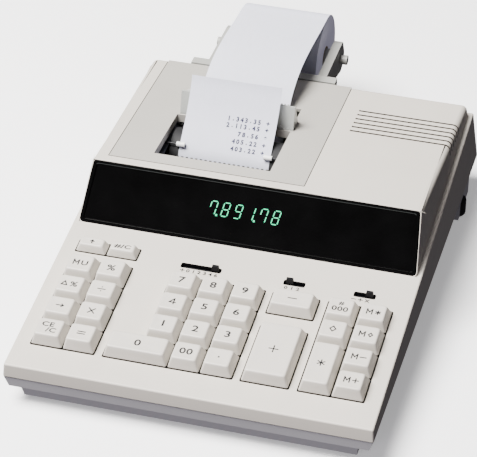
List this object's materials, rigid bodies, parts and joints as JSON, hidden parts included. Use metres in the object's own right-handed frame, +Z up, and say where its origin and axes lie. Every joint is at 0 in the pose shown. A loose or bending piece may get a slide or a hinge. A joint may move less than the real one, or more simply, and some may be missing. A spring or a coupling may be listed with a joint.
{
  "type": "desktop printing calculator",
  "caption": "Wedge-shaped desktop printing calculator: keypad deck, raised display and printer section, hinged printer cover, slide switches and a paper roll on rear arms.",
  "frame": {"origin": "middle of the bounding box on the table, under the feet", "axes": "+X to the user's right, +Y from the user to the back, +Z up"},
  "size_m": [0.2218, 0.3712, 0.0971],
  "materials": {
    "case_beige": "fine moulded texture",
    "lower_grey": "fine moulded texture",
    "cover_grey": "fine moulded texture",
    "key_beige": "satin",
    "display_black": "polished",
    "display_glass": "clear",
    "rubber_black": "matte",
    "screw_steel": "zinc plated",
    "steel_plate": "zinc plated",
    "silicone": "matte",
    "board_green": "solder mask over laminate",
    "transformer_metal": "varnished laminations",
    "black_plastic": "satin",
    "knob_black": "satin",
    "frame_dark": "satin",
    "motor_steel": "plated",
    "gear_plastic": "natural acetal",
    "platen_rubber": "ground rubber",
    "drum_dark": "satin",
    "ink_felt": "inked felt",
    "white_plastic": "satin",
    "paper": "plain uncoated paper",
    "holder_grey": "satin",
    "tear_clear": "smoky translucent moulding"
  },
  "bodies": {
    "case": {"bottom_case": "lower_grey", "top_case": "case_beige", "display_window": "display_black", "display_tube": "display_glass", "rubber_feet": "rubber_black", "case_screws": "screw_steel", "key_plate": "steel_plate", "key_domes": "silicone", "key_board": "board_green", "main_board": "board_green", "transformer": "transformer_metal", "power_inlet": "black_plastic", "switch_bodies": "black_plastic", "printer_frame": "frame_dark", "print_motor": "motor_steel", "paper_comb": "black_plastic", "roll_holder": "holder_grey", "paper_web": "paper"},
    "cover": {"printer_cover": "cover_grey", "tear_bar": "tear_clear"},
    "platen": {"platen": "platen_rubber"},
    "pinch_rollers": {"pinch_rollers": "white_plastic"},
    "print_drum": {"print_drum": "drum_dark"},
    "ink_roller": {"ink_roller": "ink_felt"},
    "motor_gear": {"motor_gear": "gear_plastic"},
    "paper_roll": {"paper_roll": "paper"},
    "knob_decimal": {"knob_decimal": "knob_black"},
    "knob_print": {"knob_print": "knob_black"},
    "knob_round": {"knob_round": "knob_black"},
    "key_feed": {"key_feed": "key_beige"},
    "key_item": {"key_item": "key_beige"},
    "key_ce": {"key_ce": "key_beige"},
    "key_equals": {"key_equals": "key_beige"},
    "key_forward": {"key_forward": "key_beige"},
    "key_times": {"key_times": "key_beige"},
    "key_delta": {"key_delta": "key_beige"},
    "key_divide": {"key_divide": "key_beige"},
    "key_markup": {"key_markup": "key_beige"},
    "key_percent": {"key_percent": "key_beige"},
    "key_0": {"key_0": "key_beige"},
    "key_00": {"key_00": "key_beige"},
    "key_point": {"key_point": "key_beige"},
    "key_1": {"key_1": "key_beige"},
    "key_2": {"key_2": "key_beige"},
    "key_3": {"key_3": "key_beige"},
    "key_4": {"key_4": "key_beige"},
    "key_5": {"key_5": "key_beige"},
    "key_6": {"key_6": "key_beige"},
    "key_7": {"key_7": "key_beige"},
    "key_8": {"key_8": "key_beige"},
    "key_9": {"key_9": "key_beige"},
    "key_plus": {"key_plus": "key_beige"},
    "key_minus": {"key_minus": "key_beige"},
    "key_total": {"key_total": "key_beige"},
    "key_diamond": {"key_diamond": "key_beige"},
    "key_date": {"key_date": "key_beige"},
    "key_m_plus": {"key_m_plus": "key_beige"},
    "key_m_minus": {"key_m_minus": "key_beige"},
    "key_m_diamond": {"key_m_diamond": "key_beige"},
    "key_m_total": {"key_m_total": "key_beige"}
  },
  "joints": [
    {"name": "cover_hinge", "type": "hinge", "parent": "case", "child": "cover", "pos_m": [-0.032, 0.09556, 0.0615], "axis": [-1, 0, 0], "range_deg": [0, 65], "deforming": ["paper_web"]},
    {"name": "platen_spin", "type": "hinge", "parent": "case", "child": "platen", "pos_m": [-0.031, 0.01906, 0.052], "axis": [1, 0, 0], "continuous": true},
    {"name": "motor_gear_spin", "type": "hinge", "parent": "case", "child": "motor_gear", "pos_m": [0.013, 0.00878, 0.03974], "axis": [1, 0, 0], "continuous": true},
    {"name": "pinch_spin", "type": "hinge", "parent": "case", "child": "pinch_rollers", "pos_m": [-0.031, 0.00787, 0.064], "axis": [1, 0, 0], "continuous": true},
    {"name": "paper_roll_spin", "type": "hinge", "parent": "case", "child": "paper_roll", "pos_m": [-0.031, 0.15707, 0.05], "axis": [1, 0, 0], "continuous": true},
    {"name": "print_drum_spin", "type": "hinge", "parent": "case", "child": "print_drum", "pos_m": [-0.031, -0.00144, 0.042], "axis": [1, 0, 0], "continuous": true},
    {"name": "ink_roller_spin", "type": "hinge", "parent": "case", "child": "ink_roller", "pos_m": [-0.031, -0.01393, 0.049], "axis": [1, 0, 0], "continuous": true},
    {"name": "knob_decimal_slide", "type": "slide", "parent": "case", "child": "knob_decimal", "axis": [1, 0, 0], "range_m": [-0.0174, 0]},
    {"name": "knob_print_slide", "type": "slide", "parent": "case", "child": "knob_print", "axis": [1, 0, 0], "range_m": [0, 0.006]},
    {"name": "knob_round_slide", "type": "slide", "parent": "case", "child": "knob_round", "axis": [1, 0, 0], "range_m": [-0.0057, 0]},
    {"name": "key_feed_press", "type": "slide", "parent": "case", "child": "key_feed", "axis": [0, 0.1045, -0.9945], "range_m": [0, 0.003], "stiffness_N_per_m": 150, "springref_m": -0.002},
    {"name": "key_item_press", "type": "slide", "parent": "case", "child": "key_item", "axis": [0, 0.1045, -0.9945], "range_m": [0, 0.003], "stiffness_N_per_m": 150, "springref_m": -0.002},
    {"name": "key_ce_press", "type": "slide", "parent": "case", "child": "key_ce", "axis": [0, 0.1045, -0.9945], "range_m": [0, 0.003], "stiffness_N_per_m": 150, "springref_m": -0.002},
    {"name": "key_equals_press", "type": "slide", "parent": "case", "child": "key_equals", "axis": [0, 0.1045, -0.9945], "range_m": [0, 0.003], "stiffness_N_per_m": 150, "springref_m": -0.002},
    {"name": "key_forward_press", "type": "slide", "parent": "case", "child": "key_forward", "axis": [0, 0.1045, -0.9945], "range_m": [0, 0.003], "stiffness_N_per_m": 150, "springref_m": -0.002},
    {"name": "key_times_press", "type": "slide", "parent": "case", "child": "key_times", "axis": [0, 0.1045, -0.9945], "range_m": [0, 0.003], "stiffness_N_per_m": 150, "springref_m": -0.002},
    {"name": "key_delta_press", "type": "slide", "parent": "case", "child": "key_delta", "axis": [0, 0.1045, -0.9945], "range_m": [0, 0.003], "stiffness_N_per_m": 150, "springref_m": -0.002},
    {"name": "key_divide_press", "type": "slide", "parent": "case", "child": "key_divide", "axis": [0, 0.1045, -0.9945], "range_m": [0, 0.003], "stiffness_N_per_m": 150, "springref_m": -0.002},
    {"name": "key_markup_press", "type": "slide", "parent": "case", "child": "key_markup", "axis": [0, 0.1045, -0.9945], "range_m": [0, 0.003], "stiffness_N_per_m": 150, "springref_m": -0.002},
    {"name": "key_percent_press", "type": "slide", "parent": "case", "child": "key_percent", "axis": [0, 0.1045, -0.9945], "range_m": [0, 0.003], "stiffness_N_per_m": 150, "springref_m": -0.002},
    {"name": "key_0_press", "type": "slide", "parent": "case", "child": "key_0", "axis": [0, 0.1045, -0.9945], "range_m": [0, 0.003], "stiffness_N_per_m": 150, "springref_m": -0.002},
    {"name": "key_00_press", "type": "slide", "parent": "case", "child": "key_00", "axis": [0, 0.1045, -0.9945], "range_m": [0, 0.003], "stiffness_N_per_m": 150, "springref_m": -0.002},
    {"name": "key_point_press", "type": "slide", "parent": "case", "child": "key_point", "axis": [0, 0.1045, -0.9945], "range_m": [0, 0.003], "stiffness_N_per_m": 150, "springref_m": -0.002},
    {"name": "key_1_press", "type": "slide", "parent": "case", "child": "key_1", "axis": [0, 0.1045, -0.9945], "range_m": [0, 0.003], "stiffness_N_per_m": 150, "springref_m": -0.002},
    {"name": "key_2_press", "type": "slide", "parent": "case", "child": "key_2", "axis": [0, 0.1045, -0.9945], "range_m": [0, 0.003], "stiffness_N_per_m": 150, "springref_m": -0.002},
    {"name": "key_3_press", "type": "slide", "parent": "case", "child": "key_3", "axis": [0, 0.1045, -0.9945], "range_m": [0, 0.003], "stiffness_N_per_m": 150, "springref_m": -0.002},
    {"name": "key_4_press", "type": "slide", "parent": "case", "child": "key_4", "axis": [0, 0.1045, -0.9945], "range_m": [0, 0.003], "stiffness_N_per_m": 150, "springref_m": -0.002},
    {"name": "key_5_press", "type": "slide", "parent": "case", "child": "key_5", "axis": [0, 0.1045, -0.9945], "range_m": [0, 0.003], "stiffness_N_per_m": 150, "springref_m": -0.002},
    {"name": "key_6_press", "type": "slide", "parent": "case", "child": "key_6", "axis": [0, 0.1045, -0.9945], "range_m": [0, 0.003], "stiffness_N_per_m": 150, "springref_m": -0.002},
    {"name": "key_7_press", "type": "slide", "parent": "case", "child": "key_7", "axis": [0, 0.1045, -0.9945], "range_m": [0, 0.003], "stiffness_N_per_m": 150, "springref_m": -0.002},
    {"name": "key_8_press", "type": "slide", "parent": "case", "child": "key_8", "axis": [0, 0.1045, -0.9945], "range_m": [0, 0.003], "stiffness_N_per_m": 150, "springref_m": -0.002},
    {"name": "key_9_press", "type": "slide", "parent": "case", "child": "key_9", "axis": [0, 0.1045, -0.9945], "range_m": [0, 0.003], "stiffness_N_per_m": 150, "springref_m": -0.002},
    {"name": "key_plus_press", "type": "slide", "parent": "case", "child": "key_plus", "axis": [0, 0.1045, -0.9945], "range_m": [0, 0.003], "stiffness_N_per_m": 150, "springref_m": -0.002},
    {"name": "key_minus_press", "type": "slide", "parent": "case", "child": "key_minus", "axis": [0, 0.1045, -0.9945], "range_m": [0, 0.003], "stiffness_N_per_m": 150, "springref_m": -0.002},
    {"name": "key_total_press", "type": "slide", "parent": "case", "child": "key_total", "axis": [0, 0.1045, -0.9945], "range_m": [0, 0.003], "stiffness_N_per_m": 150, "springref_m": -0.002},
    {"name": "key_diamond_press", "type": "slide", "parent": "case", "child": "key_diamond", "axis": [0, 0.1045, -0.9945], "range_m": [0, 0.003], "stiffness_N_per_m": 150, "springref_m": -0.002},
    {"name": "key_date_press", "type": "slide", "parent": "case", "child": "key_date", "axis": [0, 0.1045, -0.9945], "range_m": [0, 0.003], "stiffness_N_per_m": 150, "springref_m": -0.002},
    {"name": "key_m_plus_press", "type": "slide", "parent": "case", "child": "key_m_plus", "axis": [0, 0.1045, -0.9945], "range_m": [0, 0.003], "stiffness_N_per_m": 150, "springref_m": -0.002},
    {"name": "key_m_minus_press", "type": "slide", "parent": "case", "child": "key_m_minus", "axis": [0, 0.1045, -0.9945], "range_m": [0, 0.003], "stiffness_N_per_m": 150, "springref_m": -0.002},
    {"name": "key_m_diamond_press", "type": "slide", "parent": "case", "child": "key_m_diamond", "axis": [0, 0.1045, -0.9945], "range_m": [0, 0.003], "stiffness_N_per_m": 150, "springref_m": -0.002},
    {"name": "key_m_total_press", "type": "slide", "parent": "case", "child": "key_m_total", "axis": [0, 0.1045, -0.9945], "range_m": [0, 0.003], "stiffness_N_per_m": 150, "springref_m": -0.002}
  ],
  "couplings": [
    {"joint": "motor_gear_spin", "follows": "platen_spin", "ratio": -3},
    {"joint": "pinch_spin", "follows": "platen_spin", "ratio": -9.1},
    {"joint": "paper_roll_spin", "follows": "platen_spin", "ratio": -0.508},
    {"joint": "ink_roller_spin", "follows": "print_drum_spin", "ratio": -1.1212}
  ]
}
